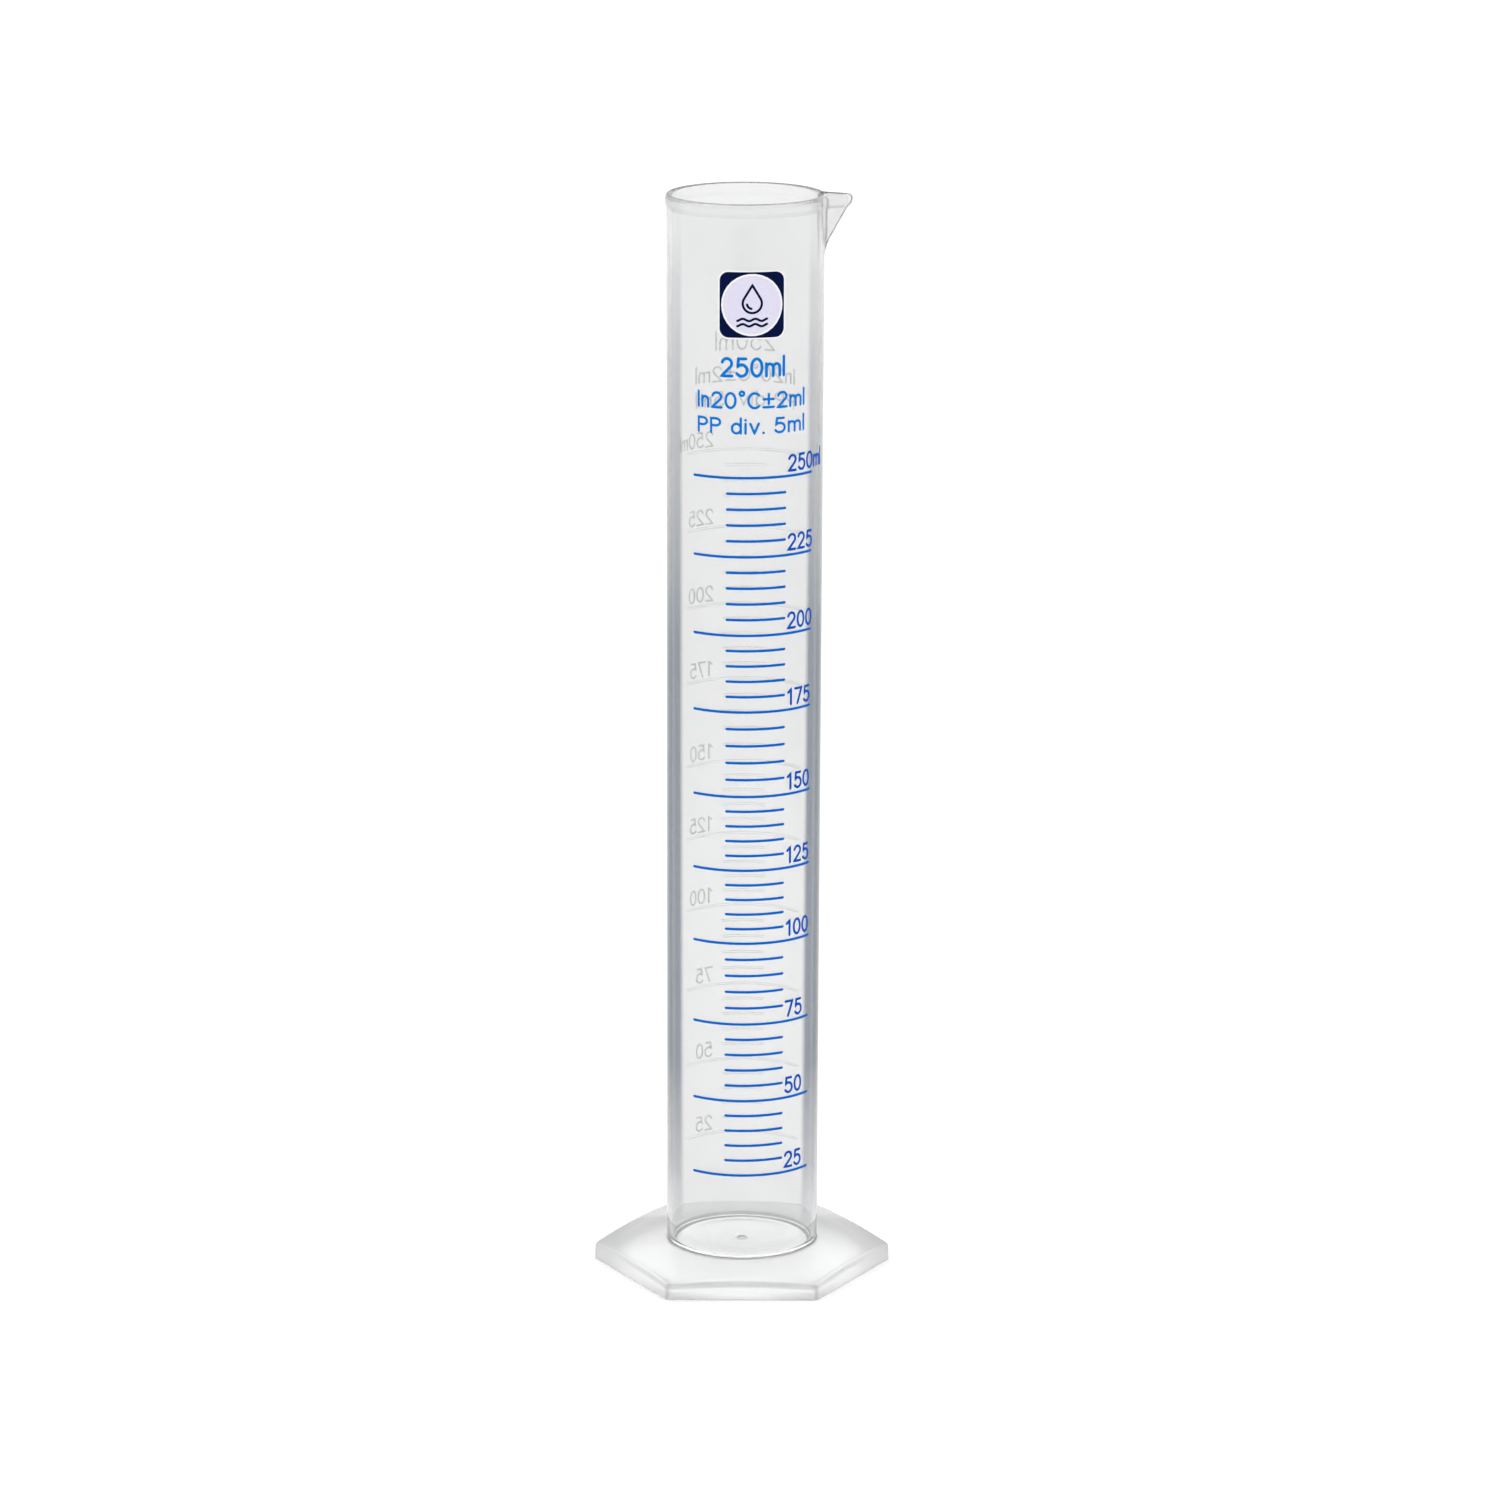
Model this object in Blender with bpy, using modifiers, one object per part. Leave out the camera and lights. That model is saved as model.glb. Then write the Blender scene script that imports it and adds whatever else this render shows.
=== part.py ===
"""A 250 ml graduated measuring cylinder in translucent plastic, standing on a hexagonal foot.

Metres, +Z up. The origin is on the tube's axis, in the plane that the foot rests on.
The pouring spout points along +X, and the printed scale faces -Y.
"""

import math

import bmesh
import bpy

# Tube: a drafted wall, so it is a little wider at the top
TUBE_R_BOTTOM = 0.0205
TUBE_R_TOP = 0.0209
TUBE_WALL = 0.00135
TUBE_BOTTOM_Z = 0.0051
FLOOR_Z = 0.0064
RIM_Z = 0.2945
FLOOR_FILLET = 0.002
BOTTOM_CHAMFER = 0.0006

# Rim bead, rolled outwards round the mouth
BEAD_R = 0.0213
BEAD_HEIGHT = 0.0038
BEAD_ROUND = 0.0012
BEAD_TAPER = 0.0012
MOUTH_ROUND = 0.0005

# Pouring spout: a V-shaped channel with a lip band, a blunt tip and a slanting keel
SPOUT_TIP_X = 0.0282
SPOUT_TIP_R = 0.0014
SPOUT_HALF_WIDTH = 0.0054
SPOUT_ROOT_X = 0.0190
SPOUT_TOP_Z = RIM_Z - 0.0002
SPOUT_BAND_HEIGHT = 0.0031
SPOUT_BAND_STEP = 0.0006
SPOUT_KEEL_X = 0.0205
SPOUT_KEEL_Z = 0.2799
SPOUT_WALL = 0.0013

# Foot: a domed hexagonal shell with a skirt, closely round the base of the tube
FOOT_R = 0.0407
FOOT_CORNER_ROUND = 0.0012
FOOT_DRAFT = 0.0005
FOOT_TOP_Z = 0.0070
FOOT_DOME_R = 0.236
FOOT_WALL = 0.0017
FIT_GAP = 0.0003

# Printed scale: one mark every 5 ml from 25 ml to 250 ml, every fifth one long
FIRST_LONG_Z = 0.0305
FIRST_VOLUME = 25
BAND_VOLUME = 25
STEPS_PER_BAND = 5
BAND_HEIGHTS = (0.0210, 0.0215, 0.0225, 0.0202, 0.0203, 0.0231, 0.0208, 0.0212, 0.0212)
SCALE_TURN = math.radians(9)
LONG_MARK_ANGLE = math.radians(96.5)
SHORT_MARK_ANGLE = math.radians(43.5)
MARK_HEIGHT = 0.0006
INK_THICKNESS = 0.0002
INK_GAP = 0.0003

# Nameplate print: a rounded square above the scale
PLATE_Z = 0.2682
PLATE_WIDTH = 0.0173
PLATE_HEIGHT = 0.0173
PLATE_CORNER = 0.0024
PLATE_TURN = math.radians(5.0)

# Resolution
TURN_STEPS = 64
MARK_STEP_ANGLE = math.radians(8)
ROUND_POINTS = 4
MERGE = 0.00001
CUT_MARGIN = 0.002


def clear_scene():
    for item in list(bpy.data.objects):
        bpy.data.objects.remove(item)


def new_collection(name):
    made = bpy.data.collections.new(name)
    bpy.context.scene.collection.children.link(made)
    return made


def new_material(name, color, roughness, transmission=0.0):
    made = bpy.data.materials.new(name)
    made.use_nodes = True
    shader = made.node_tree.nodes["Principled BSDF"]
    shader.inputs["Base Color"].default_value = (*color, 1.0)
    shader.inputs["Roughness"].default_value = roughness
    shader.inputs["Metallic"].default_value = 0.0
    shader.inputs["Transmission Weight"].default_value = transmission
    shader.inputs["IOR"].default_value = 1.49
    return made


def add_object(name, mesh, collection, material=None):
    made = bpy.data.objects.new(name, mesh)
    collection.objects.link(made)
    if material:
        mesh.materials.append(material)
    return made


def mesh_of(name, bm):
    mesh = bpy.data.meshes.new(name)
    bm.to_mesh(mesh)
    bm.free()
    return mesh


def arc(center_x, center_z, radius, start, end, points=ROUND_POINTS):
    """Points on an arc in the XZ plane, with angles in degrees from +X towards +Z."""
    turns = [math.radians(start + (end - start) * i / points) for i in range(points + 1)]
    return [(center_x + radius * math.cos(t), center_z + radius * math.sin(t)) for t in turns]


def turned(name, profile, collection, material=None, steps=TURN_STEPS, angle=math.tau):
    """A profile of (radius, height) points, top to bottom down its outer side, turned about Z."""
    mesh = bpy.data.meshes.new(name)
    edges = [(i, i + 1) for i in range(len(profile) - 1)]
    mesh.from_pydata([(r, 0.0, z) for r, z in profile], edges, [])
    made = add_object(name, mesh, collection, material)
    screw = made.modifiers.new("turn", "SCREW")
    screw.axis = "Z"
    screw.angle = angle
    screw.steps = steps
    screw.render_steps = steps
    screw.use_merge_vertices = angle == math.tau
    screw.merge_threshold = MERGE
    return made


def as_cutter(item):
    item.hide_render = True
    item.display_type = "WIRE"
    return item


def boolean(target, other, operation):
    modifier = target.modifiers.new(other.name, "BOOLEAN")
    modifier.operation = operation
    modifier.solver = "EXACT"
    modifier.object = other


def smooth(item):
    """Rounded faces shade smooth and real edges stay sharp."""
    for polygon in item.data.polygons:
        polygon.use_smooth = True
    item.data.set_sharp_from_angle(angle=math.radians(30))


def tube_radius(z):
    return TUBE_R_BOTTOM + (TUBE_R_TOP - TUBE_R_BOTTOM) * z / RIM_Z


def dome_height(radius):
    """The foot's top surface: part of a large sphere, level inside the tube's wall."""
    out = max(radius, TUBE_R_BOTTOM)
    return FOOT_TOP_Z - (out**2 - TUBE_R_BOTTOM**2) / (2 * FOOT_DOME_R)


def spout_outline(tip_x, tip_r, half_width):
    """Plan of the spout: two root points inside the tube wall and a round tip."""
    turns = [math.radians(-60 + 120 * i / ROUND_POINTS) for i in range(ROUND_POINTS + 1)]
    tip = [(tip_x - tip_r + tip_r * math.cos(t), tip_r * math.sin(t)) for t in turns]
    return [(SPOUT_ROOT_X, -half_width), *tip, (SPOUT_ROOT_X, half_width)]


def hull_object(name, points, collection):
    bm = bmesh.new()
    verts = [bm.verts.new(p) for p in points]
    made = bmesh.ops.convex_hull(bm, input=verts)
    loose = [v for v in made["geom_interior"] + made["geom_unused"] if isinstance(v, bmesh.types.BMVert)]
    bmesh.ops.delete(bm, geom=loose, context="VERTS")
    bmesh.ops.recalc_face_normals(bm, faces=bm.faces)
    return add_object(name, mesh_of(name, bm), collection)


def hex_prism(name, corner_radius, low, high, corner_round, collection):
    """A hexagonal prism with a corner on +X, drafted inwards towards the top, its upright edges rounded."""
    bm = bmesh.new()
    top_radius = corner_radius - FOOT_DRAFT * (high - low) / FOOT_TOP_Z
    bmesh.ops.create_cone(
        bm, segments=6, cap_ends=True, radius1=corner_radius, radius2=top_radius, depth=high - low
    )
    bmesh.ops.translate(bm, verts=bm.verts, vec=(0.0, 0.0, (low + high) / 2))
    corner = min(bm.verts, key=lambda v: abs(math.atan2(v.co.y, v.co.x)))
    turn = -math.atan2(corner.co.y, corner.co.x)
    for vert in bm.verts:
        x, y = vert.co.x, vert.co.y
        vert.co.x = x * math.cos(turn) - y * math.sin(turn)
        vert.co.y = x * math.sin(turn) + y * math.cos(turn)
    upright = [e for e in bm.edges if abs(e.verts[0].co.z - e.verts[1].co.z) > (high - low) / 2]
    bmesh.ops.bevel(bm, geom=upright, offset=corner_round, segments=3, profile=0.5, affect="EDGES")
    return add_object(name, mesh_of(name, bm), collection)


def spout_solids(collection):
    """The outer body, the lip band and the channel of the spout."""
    band_low = SPOUT_TOP_Z - SPOUT_BAND_HEIGHT
    body_tip = SPOUT_TIP_X - SPOUT_BAND_STEP
    body_half = SPOUT_HALF_WIDTH - SPOUT_BAND_STEP
    keel = (SPOUT_KEEL_X, 0.0, SPOUT_KEEL_Z)
    root = (SPOUT_ROOT_X, 0.0, SPOUT_KEEL_Z)

    top = [(x, y, band_low + BEAD_TAPER) for x, y in spout_outline(body_tip, SPOUT_TIP_R, body_half)]
    body = hull_object("spout_body", [*top, keel, root], collection)

    plan = spout_outline(SPOUT_TIP_X, SPOUT_TIP_R, SPOUT_HALF_WIDTH)
    inset = spout_outline(body_tip, SPOUT_TIP_R, body_half)
    levels = [(x, y, SPOUT_TOP_Z) for x, y in inset]
    levels += [(x, y, SPOUT_TOP_Z - SPOUT_BAND_STEP) for x, y in plan]
    levels += [(x, y, band_low + SPOUT_BAND_STEP) for x, y in plan]
    levels += [(x, y, band_low) for x, y in inset]
    band = hull_object("spout_band", levels, collection)

    inner_root = SPOUT_KEEL_Z + 2 * SPOUT_WALL
    inner = spout_outline(
        SPOUT_TIP_X - SPOUT_WALL, SPOUT_TIP_R - SPOUT_WALL / 2, SPOUT_HALF_WIDTH - SPOUT_WALL
    )
    reach = SPOUT_ROOT_X - 2 * TUBE_WALL
    points = [(x, y, RIM_Z + CUT_MARGIN) for x, y in inner]
    points += [(reach, y, RIM_Z + CUT_MARGIN) for _, y in (inner[0], inner[-1])]
    points += [(SPOUT_ROOT_X, 0.0, inner_root), (reach, 0.0, inner_root)]
    channel = hull_object("spout_channel", points, collection)
    return as_cutter(body), as_cutter(band), as_cutter(channel)


def build_vessel(parts, cutters, material):
    """The tube with its floor, rim bead and spout, as one moulding."""
    bead_low = RIM_Z - BEAD_HEIGHT
    profile = [(0.0, RIM_Z)]
    profile += arc(BEAD_R - BEAD_ROUND, RIM_Z - BEAD_ROUND, BEAD_ROUND, 90, 0)
    profile += [(BEAD_R, bead_low + BEAD_TAPER), (tube_radius(bead_low), bead_low)]
    profile += [
        (TUBE_R_BOTTOM, TUBE_BOTTOM_Z + BOTTOM_CHAMFER),
        (TUBE_R_BOTTOM - BOTTOM_CHAMFER, TUBE_BOTTOM_Z),
        (0.0, TUBE_BOTTOM_Z),
    ]
    vessel = turned("vessel", profile, parts, material)

    mouth_r = TUBE_R_TOP - TUBE_WALL
    foot_r = TUBE_R_BOTTOM - TUBE_WALL
    cavity_profile = [(0.0, RIM_Z + CUT_MARGIN), (mouth_r + MOUTH_ROUND, RIM_Z + CUT_MARGIN)]
    cavity_profile += [(mouth_r + MOUTH_ROUND, RIM_Z), (mouth_r, RIM_Z - 2 * MOUTH_ROUND)]
    cavity_profile += arc(foot_r - FLOOR_FILLET, FLOOR_Z + FLOOR_FILLET, FLOOR_FILLET, 0, -90)
    cavity_profile += [(0.0, FLOOR_Z)]
    cavity = as_cutter(turned("vessel_cavity", cavity_profile, cutters))

    body, band, channel = spout_solids(cutters)
    boolean(vessel, body, "UNION")
    boolean(vessel, band, "UNION")
    boolean(vessel, cavity, "DIFFERENCE")
    boolean(vessel, channel, "DIFFERENCE")
    return vessel


def build_foot(parts, cutters, material):
    """The hexagonal foot: a domed shell, open underneath, with a round hole for the tube."""
    edge = FOOT_R + CUT_MARGIN
    hole_r = TUBE_R_BOTTOM + FIT_GAP
    span = edge - TUBE_R_BOTTOM
    spread = [TUBE_R_BOTTOM + span * i / ROUND_POINTS for i in range(ROUND_POINTS + 1)]

    foot = hex_prism("foot", FOOT_R, 0.0, FOOT_TOP_Z + CUT_MARGIN, FOOT_CORNER_ROUND, parts)
    foot.data.materials.append(material)
    dome_profile = [(0.0, FOOT_TOP_Z)] + [(r, dome_height(r)) for r in spread]
    dome_profile += [(edge, -CUT_MARGIN), (0.0, -CUT_MARGIN)]
    dome = as_cutter(turned("foot_dome", dome_profile, cutters))

    hollow_r = FOOT_R - FOOT_WALL / math.cos(math.radians(30))
    hollow = hex_prism("foot_hollow", hollow_r, -CUT_MARGIN, FOOT_TOP_Z, FOOT_CORNER_ROUND / 2, cutters)
    as_cutter(hollow)
    under_profile = [(0.0, FOOT_TOP_Z - FOOT_WALL)]
    under_profile += [(r, dome_height(r) - FOOT_WALL) for r in spread]
    under_profile += [(edge, -2 * CUT_MARGIN), (0.0, -2 * CUT_MARGIN)]
    under = as_cutter(turned("foot_under", under_profile, cutters))
    boolean(hollow, under, "INTERSECT")

    high = FOOT_TOP_Z + CUT_MARGIN
    low = -3 * CUT_MARGIN
    hole_profile = [(0.0, high), (hole_r, high), (hole_r, low), (0.0, low)]
    hole = as_cutter(turned("foot_hole", hole_profile, cutters))

    boolean(foot, dome, "INTERSECT")
    boolean(foot, hollow, "DIFFERENCE")
    boolean(foot, hole, "DIFFERENCE")
    return foot


def ink_strip(name, z, height, angle, turn, collection, material):
    """A printed line or patch: an upright strip turned round the tube, and thickened outwards."""
    radius = tube_radius(z) + INK_GAP
    steps = max(2, round(angle / MARK_STEP_ANGLE))
    profile = [(radius, z + height / 2), (radius, z - height / 2)]
    strip = turned(name, profile, collection, material, steps=steps, angle=angle)
    thicken = strip.modifiers.new("thicken", "SOLIDIFY")
    thicken.thickness = INK_THICKNESS
    thicken.offset = 1.0
    strip.rotation_euler.z = turn - math.pi / 2 - angle / 2
    return strip


def build_scale(parts, material):
    """One strip for each 5 ml, named by its volume; each band between long marks is divided evenly."""
    low = FIRST_LONG_Z
    volume = FIRST_VOLUME
    for band_height in (*BAND_HEIGHTS, None):
        name = f"mark_{volume:03d}ml"
        ink_strip(name, low, MARK_HEIGHT, LONG_MARK_ANGLE, SCALE_TURN, parts, material)
        if band_height is None:
            break
        for step in range(1, STEPS_PER_BAND):
            z = low + band_height * step / STEPS_PER_BAND
            short_volume = volume + step * BAND_VOLUME // STEPS_PER_BAND
            name = f"mark_{short_volume:03d}ml"
            ink_strip(name, z, MARK_HEIGHT, SHORT_MARK_ANGLE, SCALE_TURN, parts, material)
        low += band_height
        volume += BAND_VOLUME


def build_plate(parts, cutters, material):
    """The nameplate print, bent round the tube and cut to a rounded square."""
    angle = PLATE_WIDTH / tube_radius(PLATE_Z) * 1.2
    plate = ink_strip("nameplate", PLATE_Z, PLATE_HEIGHT * 1.2, angle, PLATE_TURN, parts, material)
    bm = bmesh.new()
    bmesh.ops.create_cube(bm, size=1.0)
    bmesh.ops.scale(bm, verts=bm.verts, vec=(2 * TUBE_R_TOP, PLATE_WIDTH, PLATE_HEIGHT))
    along = [e for e in bm.edges if abs(e.verts[0].co.x - e.verts[1].co.x) > TUBE_R_TOP]
    bmesh.ops.bevel(bm, geom=along, offset=PLATE_CORNER, segments=4, profile=0.5, affect="EDGES")
    bmesh.ops.translate(bm, verts=bm.verts, vec=(TUBE_R_TOP + CUT_MARGIN, 0.0, PLATE_Z))
    window = as_cutter(add_object("plate_window", mesh_of("plate_window", bm), cutters))
    window.rotation_euler.z = PLATE_TURN - math.pi / 2
    boolean(plate, window, "INTERSECT")


def main():
    clear_scene()
    parts = new_collection("graduated_cylinder")
    cutters = new_collection("cutters")
    plastic = new_material("translucent_plastic", (0.86, 0.88, 0.90), 0.25, transmission=0.6)
    foot_plastic = new_material("foot_plastic", (0.88, 0.89, 0.90), 0.25, transmission=0.6)
    ink = new_material("scale_ink", (0.0, 0.13, 0.55), 0.45)
    plate_ink = new_material("plate_ink", (0.0, 0.015, 0.11), 0.4)

    smooth(build_vessel(parts, cutters, plastic))
    smooth(build_foot(parts, cutters, foot_plastic))
    build_scale(parts, ink)
    build_plate(parts, cutters, plate_ink)


main()
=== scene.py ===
"""Looks for the 250 ml graduated cylinder: fine meshes, translucent plastic, printed and raised scales."""

import math

import bpy
import numpy as np
from mathutils import Matrix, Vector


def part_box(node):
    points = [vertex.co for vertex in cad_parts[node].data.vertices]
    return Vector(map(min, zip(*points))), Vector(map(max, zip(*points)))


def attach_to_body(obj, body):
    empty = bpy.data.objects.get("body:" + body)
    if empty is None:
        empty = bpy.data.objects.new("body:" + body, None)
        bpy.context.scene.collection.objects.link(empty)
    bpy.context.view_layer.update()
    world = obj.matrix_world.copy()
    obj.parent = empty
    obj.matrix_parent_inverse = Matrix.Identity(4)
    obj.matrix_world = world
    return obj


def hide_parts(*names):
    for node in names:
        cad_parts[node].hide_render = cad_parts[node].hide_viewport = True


# Lengths are in millimetres, unless a comment says metres. new_mesh() turns them into metres.
MM = 0.001

# Tube
TUBE_R_BOTTOM = 20.5
TUBE_R_TOP = 20.9
TUBE_WALL = 1.35
TUBE_BOTTOM_Z = 5.1
BASE_ROUND = 0.6
FLOOR_Z = 6.4
FLOOR_FILLET = 2.0

# The gate mark in the middle of the floor: (radius, height above the floor), and the depth of its dimple
GATE = ((0.5, -0.25), (0.85, -0.2), (1.0, 0.05), (1.15, 0.12), (1.35, 0.05), (1.6, 0.0))
GATE_DEPTH = 0.28

# Rim: a rounded crest, and a bead outside it that tapers back into the wall
CREST_OFFSET = -0.55
CREST_INNER_RISE = 1.9
CREST_OUTER_RISE = 1.3
BEAD_STEP = 0.4
BEAD_TAPER_TOP = 2.4
BEAD_TAPER = 1.6

# Spout: a V with a round tip, growing out of the wall between its keel and the rim
SPOUT_CENTER_X = 26.75
SPOUT_TIP_R = 1.0
SPOUT_TIP_R_MIN = 0.3
SPOUT_HALF_ANGLE = math.radians(24)
SPOUT_FULL_Z = 292.7
SPOUT_KEEL_SLOPE = 0.555
SPOUT_BLEND = 1.6
SPOUT_SPREAD = math.radians(60)
SPOUT_SIDE_LIMIT = 1.5  # radians; past it the V's sides keep one distance from the axis

# Rings round the tube: close together above the first height, plain down to the second, then the
# scale's own, then plain again below the third
SPOUT_RINGS_FROM = 276.0
SCALE_RINGS_FROM = 232.0
SCALE_RINGS_TO = 26.0
RIM_RING_GAP = 0.4

# Foot
FOOT_TOP_Z = 7.0
FOOT_DOME_R = 236.0
FOOT_WALL = 1.7
FOOT_CORNER_R = 2.1
FOOT_CORNER_R_MIN = 0.5
FOOT_DRAFT = 0.3
FOOT_EDGE_R = 0.9
FOOT_SHOULDER_Z = 6.0
FIT_GAP = 0.02
HOLE_R = TUBE_R_BOTTOM + FIT_GAP
HOLE_TOP_CHAMFER = 0.1
HOLE_LOW_CHAMFER = 0.15
SKIRT_LIP = ((0.1, 0.08), (0.3, 0.0))  # (in from the skirt's faces, height)
UNDER_FILLET = ((0.1, 0.35), (0.4, 0.08))  # (in from the skirt, down from the dome's underside)
UNDER_FILLET_END = 0.5

# Printed scale. Angles are measured from -Y towards +X.
LONG_EVERY = 25
SCALE_TURN = math.radians(9)
LONG_HALF = math.radians(48.25)
SHORT_HALF = math.radians(21.75)
MARK_STROKE = 0.70
NUMERAL_LEFT = math.radians(33)
NUMERAL_RISE = 1.05
NUMERAL_HEIGHT = 4.7
NUMERAL_STROKE = 0.70
NUMERAL_FIT = 0.64  # the stroke that the digits are spaced for
INK_LIFT = 0.012
INK_HEIGHT = 0.035
STROKE_STEP = 0.002
STROKE_LEVELS = 7
CAP_POINTS = 6
MITRE_LIMIT = 0.6

# Printed lines: name, text, baseline, height, stroke, width and gap between letters
TEXT_TURN = math.radians(6)
TEXT_LINES = (
    ("text_capacity", "250ml", 249.0, 5.4, 0.80, 17.6, 0.24),
    ("text_calibration", "In20oC+2ml", 240.6, 4.6, 0.68, 31.0, 0.25),
    ("text_division", "PP div. 5ml", 233.9, 4.4, 0.66, 31.0, 0.25),
)

# Raised scale on the back wall: ridges in the wall's own surface, and numerals and text standing off it
BACK_TURN = math.radians(180)
BACK_LONG_HALF = math.radians(52)
BACK_SHORT_HALF = math.radians(18.5)
BACK_END_FADE = math.radians(1.2)
RELIEF = 0.16
RELIEF_HALF = 0.2
RELIEF_FOOT = 0.34
RELIEF_CLEAR = 0.48
RAISED_STROKE = 0.45
RAISED_LIFT = 0.01
RAISED_HEIGHT = 0.18
RAISED_NUMERAL_LEFT = math.radians(25)
RAISED_NUMERAL_RISE = 0.9
RAISED_NUMERAL_HEIGHT = 4.4

# Nameplate
PLATE_TURN = math.radians(5)
PLATE_CORNER = 2.4
PLATE_BORDER = 0.2
BORDER_STROKE = 0.42
BORDER_HEIGHT = 0.03
DISC_R = 8.05
DISC_HEIGHT = 0.03
RING_INSET = 0.1
RING_STROKE = 0.5
RING_HEIGHT = 0.07
EMBLEM_STROKE = 0.62
EMBLEM_HEIGHT = 0.075

# Looks that change with height: grey levels, on the tube and the foot painted shade, as (height, level)
# stops, the rest by share of the full height
# Painted shade on the tube: grey levels by height, darker towards the top
TUBE_PAINTED_SHADE = ((110, 0.985), (155, 0.965), (225, 0.957), (262, 0.955), (280, 0.935))
RAISED_TINTS = ((0, 0.97),)
# Painted shade on the foot: darker below 4.6 mm, towards the floor
FOOT_PAINTED_SHADE = ((4.6, 0.90), (5.1, 0.99))
RIM_FROST = ((0.984, 0.0), (0.990, 0.18))
# How strongly the painted edge shade on the tube shows, by share of the full height
EDGE_PAINTED_SHADE_BY_HEIGHT = (
    (0.03, 0.0),
    (0.10, 0.7),
    (0.20, 1.0),
    (0.60, 1.0),
    (0.85, 0.6),
    (0.93, 0.35),
    (0.97, 0.10),
)

# Painted shade on the tube's outer wall: its colour darkened in bluish bands, from seen face-on (0) to seen
# edge-on (1)
EDGE_PAINTED_SHADE_STOPS = (
    (0.00, (1.0, 1.0, 1.0)),
    (0.39, (0.95, 0.95, 0.95)),
    (0.42, (0.60, 0.61, 0.63)),
    (0.46, (0.13, 0.155, 0.20)),
    (0.54, (0.08, 0.10, 0.14)),
    (0.60, (0.13, 0.16, 0.20)),
    (0.67, (0.025, 0.04, 0.06)),
    (0.80, (0.006, 0.011, 0.02)),
    (1.00, (0.006, 0.011, 0.02)),
)

# Studio: world levels by degrees above the horizon, and a floor with a lit patch under the foot
WORLD_STRENGTH = 1.1
WALL_BY_ELEVATION = ((0, 1.0), (8, 1.0), (10, 0.5), (21, 0.5), (23, 1.0))
FLOOR_HALF = 6.0  # metres
FLOOR_GLOW = 0.2
PATCH_GLOW = 0.9
PATCH_FULL_R = 30.0
PATCH_END_R = 35.0

# Camera, in metres and radians
CAMERA_PLACE = (0.0, -1.5372, 0.5229)
CAMERA_PITCH = 0.2418
CAMERA_YAW = 0.0011
CAMERA_ROLL = 0.0039
CAMERA_LENS = 141.36
CAMERA_SENSOR = 36.0

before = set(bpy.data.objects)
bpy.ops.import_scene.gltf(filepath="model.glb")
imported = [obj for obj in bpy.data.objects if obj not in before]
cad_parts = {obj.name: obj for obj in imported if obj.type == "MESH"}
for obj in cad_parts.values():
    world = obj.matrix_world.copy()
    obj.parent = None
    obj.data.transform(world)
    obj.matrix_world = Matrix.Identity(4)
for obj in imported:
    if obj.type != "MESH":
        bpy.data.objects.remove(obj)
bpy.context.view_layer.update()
rim_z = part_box("vessel")[1].z / MM
foot_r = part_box("foot")[1].x / MM


# ---------------------------------------------------------------- geometry helpers


def smoothstep(low, high, x):
    t = np.clip((x - low) / (high - low), 0.0, 1.0)
    return t * t * (3 - 2 * t)


def smooth_max(a, b, blend):
    """The larger of two lengths, with the corner between them rounded."""
    near = np.maximum(blend - np.abs(a - b), 0.0) / blend
    return np.maximum(a, b) + near * near * blend / 4


def signed(angle):
    """The same angle between minus and plus half a turn."""
    return (angle + math.pi) % math.tau - math.pi


def tube_radius(z):
    return TUBE_R_BOTTOM + (TUBE_R_TOP - TUBE_R_BOTTOM) * z / rim_z


def attach(made, slot, *nodes):
    """Makes a piece part of the object, standing for the CAD nodes it is given."""
    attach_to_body(made, "root")
    if nodes:
        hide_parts(*nodes)


def new_mesh(name, verts, faces, material, smooth=True):
    mesh = bpy.data.meshes.new(name)
    mesh.from_pydata((np.asarray(verts) * MM).tolist(), [], faces)
    mesh.validate()
    mesh.materials.append(material)
    if smooth:
        mesh.shade_smooth()
        mesh.set_sharp_from_angle(angle=math.radians(40))
    made = bpy.data.objects.new(name, mesh)
    bpy.context.scene.collection.objects.link(made)
    return made


def ring_points(angles, radius, z):
    """Points round the axis; radius and z are numbers, or one value for each angle."""
    radius = radius + np.zeros_like(angles)
    z = z + np.zeros_like(angles)
    return np.stack([radius * np.cos(angles), radius * np.sin(angles), z], axis=1)


def skin(name, rings, poles, material):
    """A closed surface over rings of points: its ends meet in two pole points, or in each other."""
    rows, columns, _ = rings.shape
    faces = []
    for row in range(rows if poles is None else rows - 1):
        here, below = row * columns, (row + 1) % rows * columns
        for c in range(columns):
            d = (c + 1) % columns
            faces.append((here + c, below + c, below + d, here + d))
    verts = list(rings.reshape(-1, 3))
    if poles is None:
        return new_mesh(name, verts, faces, material)
    top, bottom = len(verts), len(verts) + 1
    last = (rows - 1) * columns
    for c in range(columns):
        d = (c + 1) % columns
        faces.append((top, c, d))
        faces.append((bottom, last + d, last + c))
    return new_mesh(name, [*verts, *poles], faces, material)


def on_tube(x, z, lift, turn):
    """Points at arc length x from the direction turn, at height z, standing off the tube's wall by lift."""
    x, z = np.asarray(x, float), np.asarray(z, float)
    radius = tube_radius(z) + lift
    angle = turn + x / tube_radius(z)
    return np.stack([radius * np.sin(angle), -radius * np.cos(angle), z], axis=-1)


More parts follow.
